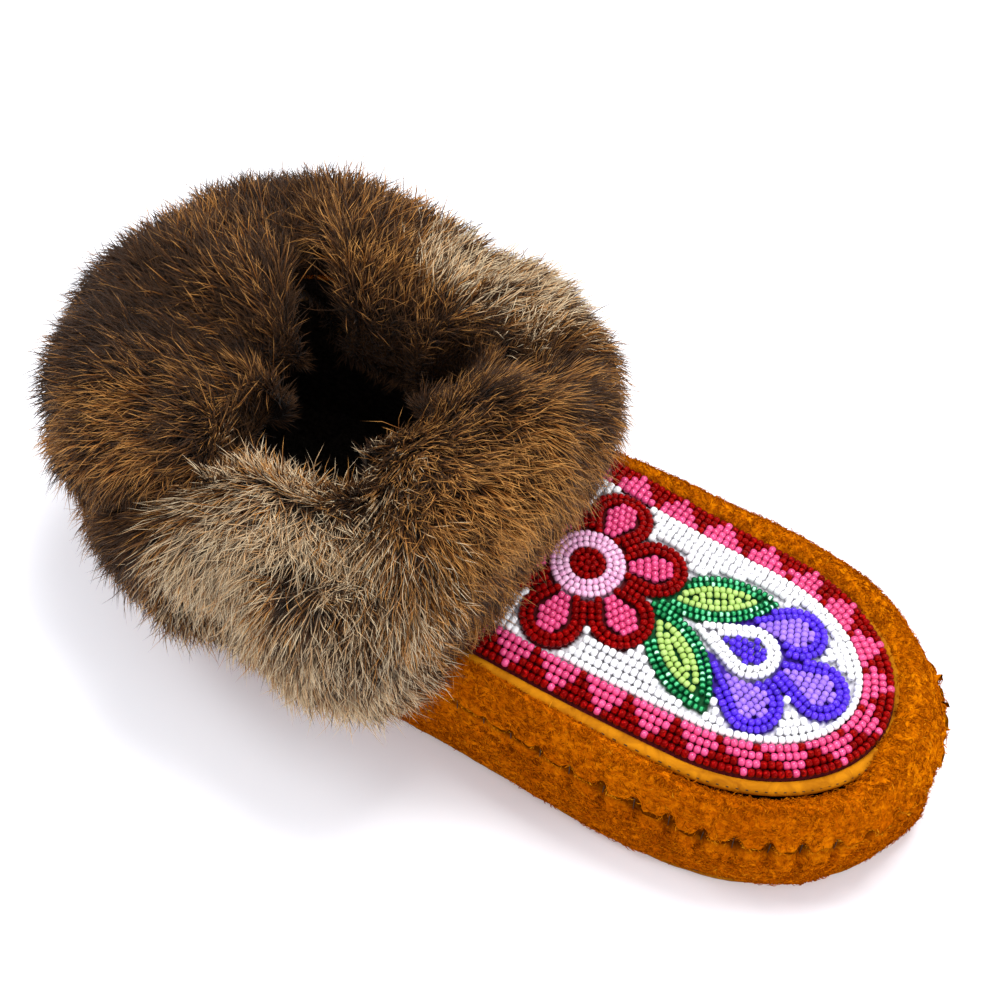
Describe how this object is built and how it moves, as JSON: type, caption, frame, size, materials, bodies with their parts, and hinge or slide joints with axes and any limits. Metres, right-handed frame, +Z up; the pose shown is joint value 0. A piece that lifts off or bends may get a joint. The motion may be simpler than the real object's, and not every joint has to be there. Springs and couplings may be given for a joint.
{
  "type": "moccasin",
  "caption": "Soft suede moccasin with a beaded flower panel on the vamp, a puckered side seam and a deep fur cuff round the ankle.",
  "frame": {"origin": "centre of the sole's flat underside", "axes": "+X to the toe, +Y to the inner side of the foot, +Z up"},
  "size_m": [0.225, 0.126, 0.0887],
  "materials": {
    "suede": "napped suede",
    "suede_sole": "napped suede, scuffed",
    "suede_smooth": "smooth grain, satin",
    "board": "matt",
    "fleece": "fleece",
    "lining": "fleece",
    "canvas": "woven",
    "thread_gold": "waxed thread",
    "thread_dark": "waxed thread",
    "bead_red": "clear red glass",
    "bead_pink": "pearl glass",
    "bead_ring": "lustred glass",
    "bead_white": "opaque glass",
    "bead_green": "silver-lined glass",
    "bead_lime": "opaque glass",
    "bead_violet": "opaque glass",
    "bead_lavender": "opaque glass",
    "fur": "fur, long pile"
  },
  "bodies": {
    "root": {"outsole": "suede_sole", "insole_board": "board", "footbed": "fleece", "sole_wrap": "suede", "side_band": "suede", "foot_lining": "fleece", "side_seam_thread": "thread_gold", "sole_thread": "thread_dark", "heel_seam_thread": "thread_dark", "vamp_backing": "canvas", "vamp_piping": "suede_smooth", "piping_thread": "thread_dark", "beads_border_red": "bead_red", "beads_border_pink": "bead_pink", "beads_ground_white": "bead_white", "beads_flower_red": "bead_red", "beads_flower_ring": "bead_ring", "beads_flower_pink": "bead_pink", "beads_leaf_green": "bead_green", "beads_leaf_lime": "bead_lime", "beads_tulip_violet": "bead_violet", "beads_tulip_lavender": "bead_lavender", "beads_tulip_white": "bead_white", "ankle_collar": "suede", "collar_lining": "lining", "collar_thread": "thread_dark", "fur_front": "fur", "fur_back": "fur"}
  },
  "joints": []
}
